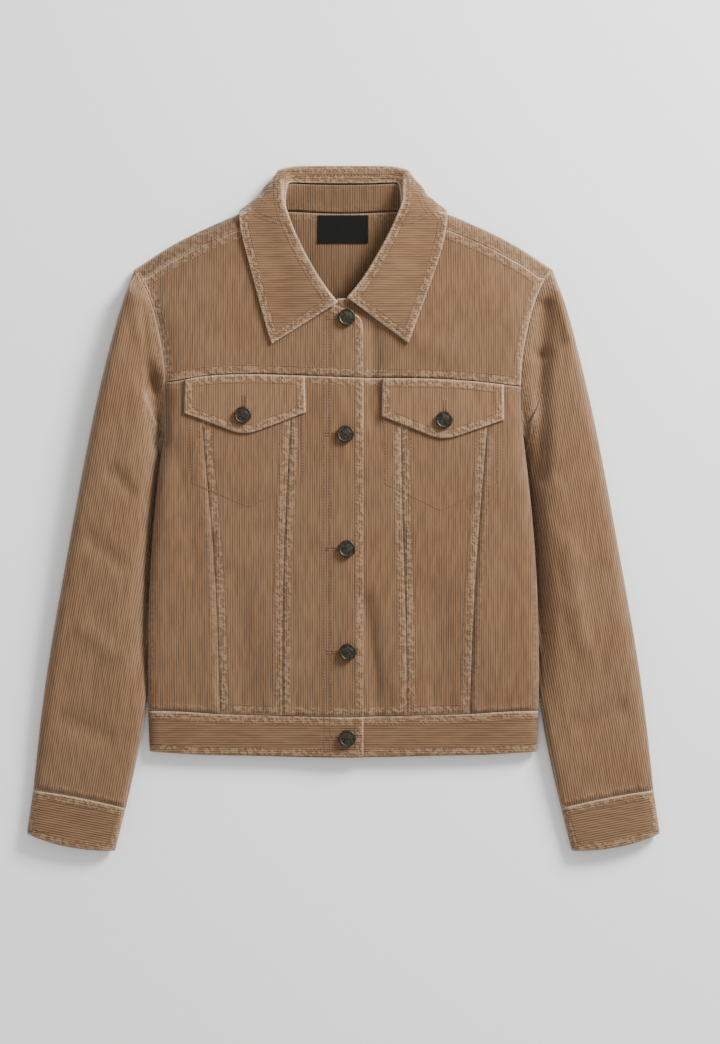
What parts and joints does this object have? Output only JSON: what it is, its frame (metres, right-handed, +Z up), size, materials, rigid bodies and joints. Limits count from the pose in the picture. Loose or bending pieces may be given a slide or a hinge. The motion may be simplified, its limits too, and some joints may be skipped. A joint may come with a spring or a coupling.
{
  "type": "corduroy trucker jacket",
  "caption": "Buttoned corduroy trucker jacket laid flat on its back, with yoke, pointed chest flaps, folded collar, waistband and cuffs.",
  "frame": {"origin": "bottom centre of the bounding box, on the surface that the jacket lies on", "axes": "+X towards the wearer's left, +Y from hem to collar, +Z up from the surface"},
  "size_m": [0.6506, 0.7038, 0.0323],
  "materials": {
    "corduroy": "soft ribbed pile, worn pale along the edges",
    "buttons": "dark gunmetal, raised rim",
    "label": "plain black woven patch"
  },
  "bodies": {
    "root": {"back_panel": "corduroy", "back_yoke": "corduroy", "collar_leaf": "corduroy", "collar_stand": "corduroy", "label": "label", "waistband_back": "corduroy", "front_yoke_r": "corduroy", "front_centre_r": "corduroy", "front_middle_r": "corduroy", "front_side_r": "corduroy", "waistband_r": "corduroy", "flap_r": "corduroy", "pocket_bag_r": "corduroy", "sleeve_upper_r": "corduroy", "sleeve_under_r": "corduroy", "cuff_r": "corduroy", "flap_button_r": "buttons", "front_yoke_l": "corduroy", "front_centre_l": "corduroy", "front_middle_l": "corduroy", "front_side_l": "corduroy", "waistband_l": "corduroy", "flap_l": "corduroy", "pocket_bag_l": "corduroy", "sleeve_upper_l": "corduroy", "sleeve_under_l": "corduroy", "cuff_l": "corduroy", "flap_button_l": "buttons", "button_1": "buttons", "button_2": "buttons", "button_3": "buttons", "button_4": "buttons", "button_5": "buttons"}
  },
  "joints": []
}
